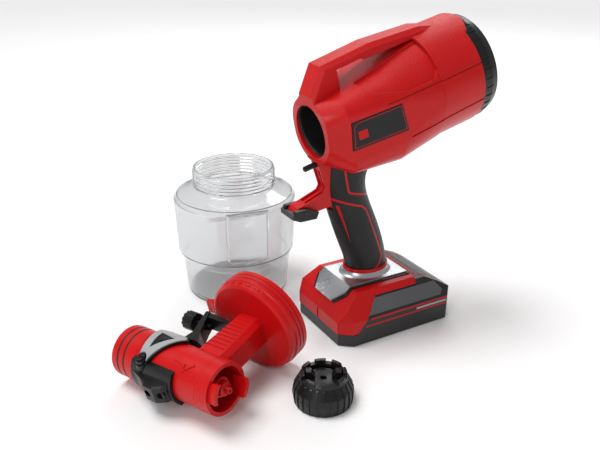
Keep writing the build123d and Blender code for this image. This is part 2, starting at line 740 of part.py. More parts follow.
def battery_cells():
    cells = []
    for i in range(5):
        x = CELL_START + CELL_PITCH * i
        cell = cross_rod(CELL_RADIUS, x, 12.4, -CELL_LENGTH / 2, CELL_LENGTH / 2)
        cells.append(cell + cross_rod(3.2, x, 12.4, CELL_LENGTH / 2, CELL_LENGTH / 2 + 0.8))
    return cells


def cell_holder():
    """Two combs that hold the cells' ends."""
    combs = []
    for start, end in ((-33.5, -24), (24, 33.4)):
        comb = block(-45, 50, start, end, 2.5, 20) & battery_hollow()
        for i in range(5):
            comb -= cross_rod(CELL_RADIUS + 0.1, CELL_START + CELL_PITCH * i, 12.4, start - 1, end + 1)
        combs.append(comb)
    return combs


def battery_board():
    """Circuit board over the cells, and the forked contacts in the rail's slots."""
    board = block(-30, 34, -22, 22, 24.2, 25.8)
    for x in (-20, -6, 8, 22):
        board += block(x - 3, x + 3, -6, 6, 25.5, 28.6)
    forks = []
    for y in CONTACT_ROWS:
        fork = block(-24, -13, y - 1.2, y + 1.2, 42.0, 44.3)
        forks.append(fork - block(-30, -12, y - 0.65, y + 0.65, 42.5, 50))
    return [board, *forks]


def release_pocket():
    return block(RELEASE_FRONT - 1, 70, -14.3, 14.3, 13.5, 26.9)


def battery_release():
    """Button at the rear that frees the battery from the foot."""
    button = block(RELEASE_FRONT + RELEASE_TRAVEL, 61.5, -14, 14, 13.8, 26.6)
    for z in (17, 20.2, 23.4):
        button -= block(60.8, 62, -10, 10, z - 0.6, z + 0.6)
    button -= rod(3.2, 50, RELEASE_SEAT, z=20.2)
    return chamfer(button.edges().filter_by(Axis.Y).group_by(Axis.X)[-1], 0.6)


def release_spring():
    return coil(2.2, 0.35, RELEASE_FRONT - 1, RELEASE_SEAT, 3, z=20.2)


def battery_inner(depth):
    """The battery's cross-section drawn in by depth, as a long bar."""
    return front_slab(side_profile(FOOT_HALF - depth), -90, 90)


def bar_slots():
    """Shallow slots for the grey bars along each side."""
    outline = [(-35, 26.5), (-26, 39.0), (40, 39.0), (47, 30.5), (44, 26.5)]
    return side_slab(outline, 60) - battery_inner(1.4)


def battery_bars():
    return bar_slots() & battery_form() & block(-90, 90, -90, 90, BATTERY_SPLIT, 39.5)


def trim_slots():
    """Two narrow slots along each side for the red lines."""
    low = side_slab([(-39, 16.4), (-38, 18.0), (52, 18.0), (52, 16.4)], 60)
    high = side_slab([(-34, 22.2), (-33, 24.0), (54, 24.0), (54, 22.2)], 60)
    return low + high - battery_inner(1.2)


def battery_trim():
    return trim_slots() & battery_form()


# ------------------------------------------------------------------ spray head
def head_tube():
    tube = rod(TUBE_RADIUS, 0.0, TUBE_LENGTH)
    tube += rod(SPIGOT_RADIUS, SPIGOT_START - 2, TUBE_LENGTH)
    for x in O_RING_AT:
        tube -= pipe(SPIGOT_RADIUS + 2, 19.3, x - 1.0, x + 1.0)
    for i in range(4):
        x = 3.4 + 2.9 * i
        tube += turned_along_x([(x - 0.9, 20), (x - 0.3, THREAD_CREST), (x + 0.3, THREAD_CREST), (x + 0.9, 20)])
    tube -= rod(TUBE_BORE, -1, 31)
    tube -= rod(TUBE_BORE, 35, TUBE_LENGTH + 1)
    tube = chamfer(tube.edges().filter_by(GeomType.CIRCLE).sort_by(Axis.X)[-1], 0.8)
    for i in range(8):
        tube -= Rot(22.5 + 45 * i, 0, 0) * rod(2.6, 30, 36, z=13.2)
    return tube


def head_slots():
    """Side slots for the needle's crossbar."""
    return block(CROSSBAR_X - 2.2, CROSSBAR_X + CROSSBAR_TRAVEL + 2.4, -40, 40, -2.2, 2.2)


def head_neck():
    """Neck between the tube and the lid, grooved for the fingers."""
    outline = [(12.5, -12), (12.5, -22), (14.5, LID_FACE - 1), (40, LID_FACE - 1), (41.5, -22), (41.5, -12)]
    neck = side_slab(outline, 13)
    corners = neck.edges().filter_by(
        lambda e: abs(abs(e.center().Y) - 13) < 0.01 and abs(e.center().Z + 40) < 24
    )
    neck = chamfer(corners, 4.0)
    for i in range(9):
        z = -23 - 4.2 * i
        for side in (-1, 1):
            neck -= block(18, 37, side * 13 - 0.7, side * 13 + 0.7, z - 0.8, z + 0.8)
    return neck - rod(TUBE_RADIUS - 1.5, 0, TUBE_LENGTH)


def head_lid():
    """Lid that screws onto the container."""
    outline = [
        (0, LID_FACE), (LID_RADIUS - 3.6, LID_FACE), (LID_RADIUS - 1.4, LID_FACE - 1.6),
        (LID_RADIUS - 1.0, LID_FACE - 6), (LID_RADIUS, LID_FACE - 7), (LID_RADIUS, LID_RIM),
        (40.3, LID_RIM), (40.3, LID_FACE - 3), (0, LID_FACE - 3),
    ]
    lid = turned(outline)
    for i in range(3):
        z = LID_FACE - 7 - 4.2 * i
        lid += turned([(39.7, z - 0.5), (39.7, z + 0.5), (41, z + 1.2), (41, z - 1.2)])
    for z in (LID_FACE - 10.6, LID_FACE - 14.6):
        lid -= turned([(LID_RADIUS - 0.7, z - 0.5), (LID_RADIUS - 0.7, z + 0.5),
                       (LID_RADIUS + 1, z + 0.5), (LID_RADIUS + 1, z - 0.5)])
    for i in range(6):
        mark = block(LID_RADIUS - 1.6, LID_RADIUS - 0.5, -2.4, 2.4, LID_FACE - 4.9, LID_FACE - 3.5)
        lid += Rot(0, 0, 12 * i - 120) * mark
    return Pos(LID_X, 0, 0) * lid


def head_catch():
    """Tab behind the lid that the power unit's clip takes hold of."""
    tab = side_slab([(69.8, LID_FACE - 4), (69.8, LID_FACE - 12), (79, LID_FACE - 12), (84.5, LID_FACE - 9.5),
                     (84.5, LID_FACE - 6.8), (79, LID_FACE - 6.8), (74, LID_FACE - 4)], 6)
    return tab - cross_rod(1.8, 75.5, LID_FACE - 9.2, -10, 10)


def suction_passage():
    """Way for the paint from the lid up to the fluid nozzle."""
    return post(3.0, LID_X, 0, -90, 6)


def nozzle_tabs():
    """Two keys at the front that index the air cap."""
    ring = pipe(TUBE_BORE + 0.8, TUBE_BORE - 2.2, -6.5, 7)
    return ring & (Rot(TAB_TURN, 0, 0) * block(-7, 8, -7.5, 7.5, -30, 30))


def head_body():
    body = head_tube() + head_neck() + head_lid() + head_catch() + nozzle_tabs()
    body += rod(8.0, 4, 46) - rod(6.0, 0, 50)
    for i in range(4):
        body += Rot(45 + 90 * i, 0, 0) * block(14, 34, -1, 1, 7.5, TUBE_BORE + 1)
    body += post(5.2, LID_X, 0, -18, -6)
    body -= rod(6.0, 0, 50)
    body -= suction_passage()
    body -= head_slots()
    body -= bracket_screw_holes(1.45)
    px, pz = TRIGGER_PIVOT
    return body - cross_rod(1.52, px, pz, 12, 20) - cross_rod(1.52, px, pz, -20, -12)


def nozzle_body():
    """Brass tube that carries paint and guides the needle."""
    tube = rod(5.98, 6, 46) - rod(4.0, 4, 41) - rod(NEEDLE_RADIUS + 0.06, 0, 60)
    tube -= post(3.0, LID_X, 0, -20, 0)
    return tube


def fluid_nozzle():
    """Nozzle at the front that the needle closes."""
    outline = [(-4.5, 1.28), (-4.5, 2.4), (-1.0, 3.4), (0.0, 5.6), (2.6, 5.6), (2.6, 4.2), (6.0, 4.2),
               (6.0, 1.28)]
    return turned_along_x(outline) + pipe(5.6, 4.2, 2.6, 6.0)


def needle():
    stem = rod(NEEDLE_RADIUS, -2.2, 64)
    stem += rod(4.0, CROSSBAR_X - 4, CROSSBAR_X + 4)
    stem += cross_rod(1.6, CROSSBAR_X, 0, -22.7, 22.7)
    return stem


def needle_spring():
    return coil(3.0, 0.4, CROSSBAR_X + 4, 86, 7)


def spring_seat():
    """Spider across the rear of the tube that the needle's spring pushes on."""
    seat = pipe(5.0, 1.6, 86, 88.5)
    for i in range(4):
        seat += Rot(90 * i, 0, 0) * block(86, 88.5, -1.2, 1.2, 4.4, TUBE_BORE)
    return seat & rod(TUBE_BORE, 80, 90)


def needle_packing():
    return pipe(3.96, NEEDLE_RADIUS + 0.08, 36.5, 41)


def o_rings():
    rings = []
    for x in O_RING_AT:
        rings.append(Pos(x, 0, 0) * Rot(0, 90, 0) * Torus(20.15, 0.82))
    return rings


def lid_gasket():
    return Pos(LID_X, 0, 0) * (post(40.0, 0, 0, LID_FACE - 4.6, LID_FACE - 3) - post(33, 0, 0, -90, 0))


def suction_socket():
    """Stub inside the lid that the suction tube pushes into."""
    stub = post(7.0, LID_X, 0, LID_FACE - 15, LID_FACE - 3) - post(3.2, LID_X, 0, -90, -60)
    stub += post(11, LID_X, 0, LID_FACE - 5, LID_FACE - 3) - post(3.2, LID_X, 0, -90, -60)
    return stub


def head_bracket():
    """Saddle on top of the tube that carries the trigger's pivots."""
    saddle = rod(TUBE_RADIUS + 3.0, 34, 78) & block(30, 80, -15.2, 15.2, 8, 40)
    hump = side_slab([(36, 18), (40, 27), (46, 30.5), (56, 30.5), (64, 26), (77, 22), (77, 18)], 8)
    crest = hump.edges().filter_by(
        lambda e: e.center().Z > 24 and abs(abs(e.center().Y) - 8) < 0.01
    )
    hump = chamfer(crest, 1.2)
    saddle += hump
    x, z = TRIGGER_PIVOT
    ears = cross_rod(5.5, x, z, -15.2, 15.2) + block(x - 5.5, x + 5.5, -15.2, 15.2, 8, z)
    saddle += ears
    saddle -= rod(TUBE_RADIUS, 0, TUBE_LENGTH)
    saddle -= cross_rod(1.5, x, z, -20, 20)
    saddle -= bracket_screw_holes(1.6)
    return saddle


def bracket_screw_holes(radius):
    holes = Part()
    for x in BRACKET_SCREWS:
        holes += post(radius, x, 0, 14, 50)
        if radius > 1.5:
            holes += post(3.0, x, 0, 25, 50)
    return holes


def bracket_screws():
    return [post(1.4, x, 0, 17.8, 26) + post(2.8, x, 0, 25, 27) for x in BRACKET_SCREWS]


def yoke_form(depth):
    """Oval bar round the tube, larger than the yoke's inside by depth."""
    plane = Plane(origin=(30, 0, 0), x_dir=(0, 1, 0), z_dir=(1, 0, 0))
    return extrude(plane * Ellipse(YOKE_INNER[0] + depth, YOKE_INNER[1] + depth), amount=60)


def trigger():
    """Trigger: a plate each side of the tube, joined below it, with the finger blade."""
    px, pz = TRIGGER_PIVOT
    cheek = side_slab(
        [(px - 4.5, pz + 2), (px + 3.5, pz + 2), (77, -14), (70, -19), (50, -19), (45, -13)], 40)
    band = (yoke_form(YOKE_WALL) - yoke_form(0)) & cheek & block(30, 90, -40, 40, -40, 12)
    under = (yoke_form(YOKE_WALL + 0.6) - yoke_form(0)) & block(47, 72, -40, 40, -40, -18.6)
    shoulders = yoke_form(YOKE_WALL) & cheek & block(30, 90, -40, 40, 6, 24)
    yoke = band + under + shoulders + cross_rod(4.6, px, pz, -18.6, 18.6)
    yoke -= block(30, 90, -15.6, 15.6, 0, 40)
    yoke -= rod(TUBE_RADIUS + 0.7, 30, 90)
    yoke -= cross_rod(3.7, px, pz, 18.6, 40) + cross_rod(3.7, px, pz, -40, -18.6)
    blade = side_slab([(50, -24), (58, -36), (63.5, -47), (69, -60), (72.5, -58.5), (67.5, -44), (64, -34),
                       (66, -24)], 7.5)
    blade -= side_slab([(54, -27), (61, -40), (67.5, -56), (90, -50), (72, -20)], 5.6)
    spur = side_slab([(43.5, -54), (43.5, -57), (67.5, -59.5), (66.5, -54)], 6.5)
    yoke += blade + spur
    yoke -= cross_rod(1.56, px, pz, -40, 40)
    yoke -= block(CROSSBAR_X - 2.0, CROSSBAR_X + 2.6, -40, 40, -2.4, 3.4)
    return yoke - rod(KNOB_STEM + 0.06, 58, 80, z=KNOB_Z)


def trigger_plates():
    """Pale cover on each side of the trigger, with a three-cornered opening."""
    px, pz = TRIGGER_PIVOT
    outline = side_slab([(px - 4.2, pz + 1), (px + 3.0, pz + 1), (76, -13.5), (69.5, -18), (51, -18),
                         (46, -12.6)], 40)
    opening = side_slab([(65.5, 8), (69.5, -10), (53.5, -8.5)], 40)
    shell = yoke_form(YOKE_WALL + PLATE_WALL) - yoke_form(YOKE_WALL)
    plates = (shell & outline) - opening
    return plates - cross_rod(4.8, px, pz, -40, 40)


def pivot_screws():
    px, pz = TRIGGER_PIVOT
    screws = []
    for side in (-1, 1):
        shank = cross_rod(1.5, px, pz, 12.2, 18.7)
        head = cross_rod(3.4, px, pz, 18.7, 20.4)
        head -= block(px - 4, px + 4, 19.6, 21, pz - 0.5, pz + 0.5)
        screw = shank + head
        screws.append(screw if side > 0 else mirrored(screw))
    return screws


def flow_knob():
    """Fluted knob under the tube that sets the paint flow."""
    knob = rod(8.0, 77, 88, z=KNOB_Z)
    for i in range(12):
        knob -= Pos(0, 0, KNOB_Z) * Rot(30 * i, 0, 0) * rod(1.1, 76.5, 89, z=8.4)
    knob = knob + rod(KNOB_STEM, 61, 78, z=KNOB_Z)
    return knob


# ------------------------------------------------------------------ nut, air cap and container
def union_nut():
    """Nut that clamps the air cap on the spray head, standing with its spray side up."""
    x, y = NUT_AT
    outline = [
        (21.6, 0), (22.4, 0), (NUT_RADIUS - 1, 8.5), (22.8, 14), (18.8, 22), (18.2, NUT_HEIGHT),
        (15.2, NUT_HEIGHT), (14.6, 21.6), (17.0, 17.2), (17.0, 14.5), (NUT_BORE, 14.5), (NUT_BORE, 0.6),
    ]
    nut = turned(outline)
    rib = side_slab(
        [(22.0, 1.0), (23.1, 1.0), (NUT_RADIUS, 8.5), (23.6, 14), (20.0, 21.0), (18.6, 21.6), (22.4, 14)], 0.9)
    for i in range(5):
        z = 1.8 + 2.9 * i
        nut += turned([(20.5, z - 0.3), (20.5, z + 0.3), (21.4, z + 0.8), (21.4, z - 0.8)])
    for i in range(24):
        nut += Rot(0, 0, 15 * i) * rib
    for i in range(8):
        nut -= Rot(0, 0, 45 * i) * block(13, 20, -2.6, 2.6, 23.4, 30)
    return Pos(x, y, 0) * nut


def air_cap():
    """Disc with a spray hole and two horns with air jets."""
    x, y = NUT_AT
    outline = [(2.6, 14.8), (16.6, 14.8), (16.6, 16.9), (14.2, 16.9), (14.2, 20.0), (12, 21.4), (2.6, 20.6)]
    cap = turned(outline)
    for side in (HORN_TURN, HORN_TURN + 180):
        horn = front_slab([(-4.0, 19), (-3.0, 27.5), (3.0, 27.5), (4.0, 19)], 6.5, 13.6)
        horn -= Pos(5.2, 0, 27.5) * Rot(0, 32, 0) * Box(7, 20, 16)
        horn -= Pos(9.0, 0, 24.6) * Rot(0, -58, 0) * Cylinder(0.6, 12)
        cap += Rot(0, 0, side) * horn
    return Pos(x, y, 0) * cap


def cap_seal():
    x, y = NUT_AT
    return Pos(x, y, 0) * (post(16.4, 0, 0, 13.2, 14.5) - post(11, 0, 0, 10, 16))


def container():
    """Clear round jar with a flat panel front and back and a threaded neck."""
    outer = [(49.5, 0), (50.5, 4), (53.3, 37), (57.3, 45), (58, 66), (59, 97)]
    shoulder = [(56, 101), (46, 104), (42, 105.6), (38.6, 107), (38.6, JAR_HEIGHT)]
    wall = JAR_WALL
    inner = [(36.6, JAR_HEIGHT), (36.6, 105.4), (41, 103.6), (45.5, 101.9), (54.5, 99), (57.0, 95.8),
             (56.0, 66), (55.3, 45.6), (51.3, 37.6), (48.6, 4.5), (47.5, wall), (0, wall), (0, 0)]
    jar = turned(outer + shoulder + inner)
    ring_form = turned([(0, 48), (80, 48), (80, 97), (0, 97)])
    for side in (0, 180):
        flat = Rot(0, 0, side) * block(52.4, 70, -18, 18, 50, 96)
        back = Rot(0, 0, side) * (block(50.4, 56.7, -20, 20, 48, 97.2) & turned(
            [(0, 40), (57.2, 46), (57.6, 66), (58.6, 97.2), (0, 97.2)]))
        jar += back & ring_form
        jar -= flat & ring_form
    for i in range(5):
        z = 109.0 + 3.4 * i
        jar += turned([(38.2, z - 1.3), (JAR_THREAD, z - 0.5), (JAR_THREAD, z + 0.5), (38.2, z + 1.3)])
    return Pos(*JAR_AT, 0) * Rot(0, 0, PANEL_ANGLE) * jar


# ------------------------------------------------------------------ write every piece
def place(location, pieces):
    """Put one piece, or a list of them, into a frame."""
    if isinstance(pieces, (list, ShapeList)) and not hasattr(pieces, "wrapped"):
        return [location * piece for piece in pieces]
    return [location * pieces]


body = housing()
save("housing_near", near_half(body))
save("housing_far", far_half(body))
save("housing_screws", *housing_screws())
save("badge", *place(BARREL, badge_shape(0.3)))

save("outlet_socket", *place(BARREL, outlet_socket()))
save("motor_duct", *place(BARREL, motor_duct()))
save("motor_can", *place(BARREL, motor_can()))
save("motor_stator", *place(BARREL, motor_stator()))
save("motor_coils", *place(BARREL, motor_coils()))
save("bearings", *place(BARREL, bearings()))
save("motor_armature", *place(BARREL, motor_armature()))
save("motor_shaft", *place(BARREL, motor_shaft()))
save("first_impeller", *place(BARREL, impeller(102.5, 113)))
save("second_impeller", *place(BARREL, impeller(116.0, NUT_START)))
save("fan_case_front", *place(BARREL, fan_case_front()))
save("diffuser", *place(BARREL, diffuser()))
save("fan_case_rear", *place(BARREL, fan_case_rear()))
save("air_filter", *place(BARREL, air_filter()))
save("filter_cover", *place(BARREL, filter_cover()))
save("switch_plunger", *place(BARREL, switch_plunger()))
save("plunger_spring", *place(BARREL, plunger_spring()))
save("switch_carrier", *place(BARREL, switch_carrier()))
save("micro_switch", *place(BARREL, micro_switch()))

sleeve = grip_sleeve()
save("grip_near", near_half(sleeve))
save("grip_far", far_half(sleeve))
save("foot_trim", foot_trim())
save("foot_plate", foot_plate())
save("latch_clip", latch_clip())
save("latch_pin", latch_pin())
save("terminal_block", *terminal_block())
save("control_board", control_board())

save("battery_base", battery_base())
save("battery_top", battery_top())
save("battery_screws", *battery_screws())
save("battery_cells", *battery_cells())
save("cell_holder", *cell_holder())
save("battery_board", *battery_board())
save("battery_release", battery_release())
save("release_spring", release_spring())
save("battery_bars", battery_bars())
save("battery_trim", battery_trim())

save("head_body", *place(HEAD, head_body()))
save("nozzle_body", *place(HEAD, nozzle_body()))
save("fluid_nozzle", *place(HEAD, fluid_nozzle()))
save("needle", *place(HEAD, needle()))
save("needle_spring", *place(HEAD, needle_spring()))
save("spring_seat", *place(HEAD, spring_seat()))
save("needle_packing", *place(HEAD, needle_packing()))
save("o_rings", *place(HEAD, o_rings()))
save("lid_gasket", *place(HEAD, lid_gasket()))
save("suction_socket", *place(HEAD, suction_socket()))
save("head_bracket", *place(HEAD, head_bracket()))
save("trigger", *place(HEAD, trigger()))
save("trigger_plates", *place(HEAD, trigger_plates()))
save("head_screws", *place(HEAD, bracket_screws() + pivot_screws()))
save("flow_knob", *place(HEAD, flow_knob()))

save("union_nut", union_nut())
save("air_cap", air_cap())
save("cap_seal", cap_seal())
save("container", container())
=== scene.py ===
import json
import math

import bmesh
import bpy
from mathutils import Matrix, Vector
from mathutils.bvhtree import BVHTree


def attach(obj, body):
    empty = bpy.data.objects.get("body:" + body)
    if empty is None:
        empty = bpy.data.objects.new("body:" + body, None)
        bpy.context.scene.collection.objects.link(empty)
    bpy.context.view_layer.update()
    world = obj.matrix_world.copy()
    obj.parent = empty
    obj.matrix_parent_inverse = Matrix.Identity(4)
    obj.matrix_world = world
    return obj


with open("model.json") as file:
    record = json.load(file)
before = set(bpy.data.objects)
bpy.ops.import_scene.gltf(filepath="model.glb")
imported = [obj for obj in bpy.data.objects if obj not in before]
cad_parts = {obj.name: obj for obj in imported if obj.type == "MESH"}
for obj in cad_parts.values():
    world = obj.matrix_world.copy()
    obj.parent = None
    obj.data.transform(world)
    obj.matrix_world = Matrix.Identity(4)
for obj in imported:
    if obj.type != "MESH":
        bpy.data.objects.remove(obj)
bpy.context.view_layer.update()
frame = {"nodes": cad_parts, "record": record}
nodes = frame["nodes"]

MM = 0.001

# Camera: where the viewer stands beside the tool, in metres, and how far the lens looks down.
CAMERA_PLACE = Vector((-0.3515, -0.4807, 0.3500))
CAMERA_TURN = math.radians(-29.34)
CAMERA_DOWN = math.radians(23.75)
CAMERA_LENS = 42.84
CAMERA_SENSOR = 36.0
CAMERA_NEAREST = 0.01

# Light and floor, in metres. The soft boxes point at the middle of the layout.
LIGHT_TARGET = Vector((-0.05, 0.0, 0.10))
SKY_STRENGTH = 0.40
FLOOR_REACH = 4.0
FLOOR_DROP = 0.0002

# Barrel axis of the power unit, from its air outlet to the rear.
BARREL_TILT = math.radians(14.5)
MOUTH = Vector((-71.0, 0.0, 187.0)) * MM
BARREL_AXIS = Vector((math.cos(BARREL_TILT), 0.0, math.sin(BARREL_TILT)))
BARREL_UP = Vector((-math.sin(BARREL_TILT), 0.0, math.cos(BARREL_TILT)))
COARSE_START = MOUTH.dot(BARREL_UP) + 0.018       # the coarse grain starts at this height
COARSE_FADE = 0.002

# Axis of the spray head's tube from its front face, and the direction seen from beside it.
HEAD_FRONT = Vector((-188.4, -79.7, 29.9)) * MM
HEAD_AXIS = Vector((-0.392, 0.917, -0.078))
HEAD_SIDE = Vector((-0.35, -0.25, 0.90))

# Marks: their middle lines, in millimetres on the plane that each one is seen against.
BADGE_BORDER = ((16.8, -11.6), (19.2, 5.6), (22.0, 8.2), (60.2, 9.2), (62.2, -10.9))
BADGE_TILE = ((21.4, -2.4), (29.2, -2.2))
TUBE_ARROW = ((41.0, 1.5), (28.5, 3.0), (28.0, 8.0), (19.5, 0.5))
SILVER_START, SILVER_END, SILVER_Z = 16.0, 50.0, 20.1
DECK_START, DECK_END, DECK_LINE_Y = 24.0, 50.0, 25.5
DECK_BAND_X, DECK_BAND_Y = 25.5, 23.0
CAST_HEIGHT = 60.0                # a mark is laid on its surface from this far above its plane
MARK_SUNK = 0.0002                # and starts this far below the surface, in metres

# Colours, as linear red, green and blue
RED = (0.56, 0.0025, 0.0035)
# Lighter, pinker red: a painted highlight laid along the housing's sharp edges.
EDGE_HIGHLIGHT_RED = (0.78, 0.10, 0.10)
BLACK = (0.006, 0.006, 0.0065)
# Dark grey: a painted highlight laid along the grip's sharp edges.
EDGE_HIGHLIGHT_RUBBER = (0.03, 0.03, 0.031)
CHROME = (0.56, 0.57, 0.59)
BOARD_GREEN = (0.010, 0.11, 0.035)
TRACK_GREEN = (0.03, 0.25, 0.09)

BEVEL_SAMPLES = 4
NOISE_LOW, NOISE_HIGH = 0.3, 0.7  # nearly all of a noise texture lies between these


# ------------------------------------------------------------------ materials
class Shader:
    """A Principled material built up one feature at a time, in object space and in metres."""

    def __init__(self, name, colour, roughness, metallic=0.0):
        self.material = bpy.data.materials.new(name)
        self.material.use_nodes = True
        self.tree = self.material.node_tree
        self.surface = self.tree.nodes["Principled BSDF"]
        self.surface.inputs["Base Color"].default_value = (*colour, 1.0)
        self.surface.inputs["Roughness"].default_value = roughness
        self.surface.inputs["Metallic"].default_value = metallic
        self.colour = colour
        self.roughness = roughness
        self.place = self.add("ShaderNodeTexCoord").outputs["Object"]
        self.normal = None
        self.tint = None

    def add(self, kind, **inputs):
        """A new node, with its inputs set by name."""
        node = self.tree.nodes.new(kind)
        for key, value in inputs.items():
            node.inputs[key].default_value = value
        return node

    def link(self, output, node_input):
        self.tree.links.new(output, node_input)

    def noise(self, scale, detail=2.0, stretch=None):
        node = self.add("ShaderNodeTexNoise", Scale=scale, Detail=detail)
        source = self.place
        if stretch:
            mapping = self.add("ShaderNodeMapping", Scale=stretch)
            self.link(source, mapping.inputs["Vector"])
            source = mapping.outputs["Vector"]
        self.link(source, node.inputs["Vector"])
        return node.outputs["Fac"]

    def spread(self, value, low, high, from_low=NOISE_LOW, from_high=NOISE_HIGH):
        """Carry a value from one range over to another."""
        node = self.add("ShaderNodeMapRange")
        node.inputs["From Min"].default_value = from_low
        node.inputs["From Max"].default_value = from_high
        node.inputs["To Min"].default_value = low
        node.inputs["To Max"].default_value = high
        self.link(value, node.inputs["Value"])
        return node.outputs["Result"]

    def product(self, first, second):
        node = self.add("ShaderNodeMath")
        node.operation = "MULTIPLY"
        self.link(first, node.inputs[0])
        self.link(second, node.inputs[1])
        return node.outputs["Value"]

    def bevelled(self, radius):
        """Surface normal with the edges rounded off."""
        node = self.add("ShaderNodeBevel")
        node.samples = BEVEL_SAMPLES
        node.inputs["Radius"].default_value = radius
        return node.outputs["Normal"]

    def round_edges(self, radius):
        """Catch light on the edges as a moulded part does."""
        self.normal = self.bevelled(radius)
        return self

    def bump(self, height, strength, distance):
        node = self.add("ShaderNodeBump", Strength=strength, Distance=distance)
        self.link(height, node.inputs["Height"])
        if self.normal:
            self.link(self.normal, node.inputs["Normal"])
        self.normal = node.outputs["Normal"]
        return self

    def mix_colour(self, factor, colour):
        """Blend towards a colour where factor is high."""
        node = self.add("ShaderNodeMix")
        node.data_type = "RGBA"
        self.link(factor, node.inputs["Factor"])
        if self.tint is None:
            node.inputs["A"].default_value = (*self.colour, 1.0)
        else:
            self.link(self.tint, node.inputs["A"])
        node.inputs["B"].default_value = (*colour, 1.0)
        self.tint = node.outputs["Result"]
        return self

    def mottle(self, scale, amount):
        """Slow, faint change of colour over the surface."""
        darker = tuple(c * (1.0 - amount) for c in self.colour)
        return self.mix_colour(self.spread(self.noise(scale), 0.0, 1.0), darker)

    def painted_edge_highlight(self, radius, colour, amount):
        """Painted highlight: a lighter line along sharp edges, broken up by noise."""
        geometry = self.add("ShaderNodeNewGeometry")
        sharpness = self.add("ShaderNodeVectorMath")
        sharpness.operation = "DOT_PRODUCT"
        self.link(self.bevelled(radius), sharpness.inputs[0])
        self.link(geometry.outputs["Normal"], sharpness.inputs[1])
        edge = self.spread(sharpness.outputs["Value"], amount, 0.0, from_low=0.80, from_high=0.97)
        patch = self.spread(self.noise(260.0), 0.25, 1.0)
        return self.mix_colour(self.product(edge, patch), colour)

    def gloss_varies(self, scale, amount):
        """Handling marks: the roughness changes a little from place to place."""
        low = max(0.02, self.roughness - amount)
        high = min(1.0, self.roughness + amount)
        marks = self.noise(scale, detail=3.0)
        self.link(self.spread(marks, low, high), self.surface.inputs["Roughness"])
        return self

    def done(self):
        if self.tint is not None:
            self.link(self.tint, self.surface.inputs["Base Color"])
        if self.normal is not None:
            self.link(self.normal, self.surface.inputs["Normal"])
        return self.material


def moulded(name, colour, roughness, depth=0.12):
    """Moulded plastic with a fine spark-eroded grain, and a painted highlight along its sharp edges.
    """
    shader = Shader(name, colour, roughness)
    shader.mottle(scale=28.0, amount=0.10)
    shader.gloss_varies(scale=90.0, amount=0.05)
    pale = tuple(min(1.0, c * 1.25 + 0.05) for c in colour)
    # Painted highlight: a paler copy of the colour along sharp edges.
    shader.painted_edge_highlight(0.0007, pale, 0.35)
    shader.round_edges(0.0005)
    shader.bump(shader.noise(1500.0), strength=depth, distance=0.0003)
    return shader


def red_plastic():
    shader = moulded("red_plastic", RED, 0.36, depth=0.10)
    shader.surface.inputs["Specular IOR Level"].default_value = 0.25
    return shader.done()


def red_housing():
    """Satin red, with a coarser grain over the top of the barrel and the carry handle."""
    shader = Shader("red_housing", RED, 0.34)
    shader.mottle(scale=22.0, amount=0.10)
    # Painted highlight: lighter, pinker red along the sharp edges.
    shader.painted_edge_highlight(0.0007, EDGE_HIGHLIGHT_RED, 0.35)
    height = shader.add("ShaderNodeVectorMath")
    height.operation = "DOT_PRODUCT"
    shader.link(shader.place, height.inputs[0])
    height.inputs[1].default_value = BARREL_UP
    coarse_end = COARSE_START + COARSE_FADE
    upper = shader.spread(height.outputs["Value"], 0.0, 1.0, COARSE_START, coarse_end)
    depth = shader.spread(upper, 0.25, 1.0, from_low=0.0, from_high=1.0)
    grain = shader.product(shader.noise(850.0, detail=3.0), depth)
    shader.surface.inputs["Specular IOR Level"].default_value = 0.28
    shader.round_edges(0.0007)
    shader.bump(grain, strength=0.8, distance=0.0006)
    roughness = shader.spread(upper, 0.30, 0.46, from_low=0.0, from_high=1.0)
    shader.link(roughness, shader.surface.inputs["Roughness"])
    return shader.done()


def black_plastic(name, roughness):
    shader = moulded(name, BLACK, roughness, depth=0.08)
    shader.surface.inputs["Specular IOR Level"].default_value = 0.35
    return shader.done()


def grip_rubber():
    """Soft overmould with a fine all-over stipple."""
    shader = Shader("grip_rubber", BLACK, 0.42)
    shader.surface.inputs["Specular IOR Level"].default_value = 0.35
    shader.mottle(scale=60.0, amount=0.2)
    shader.gloss_varies(scale=40.0, amount=0.08)
    # Painted highlight: dark grey along the sharp edges of the black rubber.
    shader.painted_edge_highlight(0.0008, EDGE_HIGHLIGHT_RUBBER, 0.4)
    shader.round_edges(0.0006)
    stipple = shader.add("ShaderNodeTexVoronoi", Scale=1100.0)
    shader.link(shader.place, stipple.inputs["Vector"])
    shader.bump(stipple.outputs["Distance"], strength=0.35, distance=0.0003)
    return shader.done()


def seal_rubber():
    shader = Shader("seal_rubber", (0.012, 0.012, 0.012), 0.45)
    return shader.mottle(scale=200.0, amount=0.2).round_edges(0.0002).done()


def metal(name, colour, roughness, stretch=(1.0, 1.0, 1.0)):
    """Bare metal with fine machining marks, which can be stretched one way."""
    shader = Shader(name, colour, roughness, metallic=1.0)
    shader.mottle(scale=70.0, amount=0.12)
    shader.gloss_varies(scale=120.0, amount=0.07)
    shader.round_edges(0.0002)
    shader.bump(shader.noise(900.0, stretch=stretch), strength=0.12, distance=0.0001)
    return shader.done()


def bright_plate():
    """Chromed plate: polished, with long soft brushing."""
    shader = Shader("bright_plate", CHROME, 0.30, metallic=1.0)
    shader.mottle(scale=30.0, amount=0.18)
    shader.gloss_varies(scale=50.0, amount=0.06)
    shader.round_edges(0.0009)
    brushing = shader.noise(700.0, stretch=(1.0, 0.12, 1.0))
    shader.bump(brushing, strength=0.12, distance=0.0001)
    return shader.done()


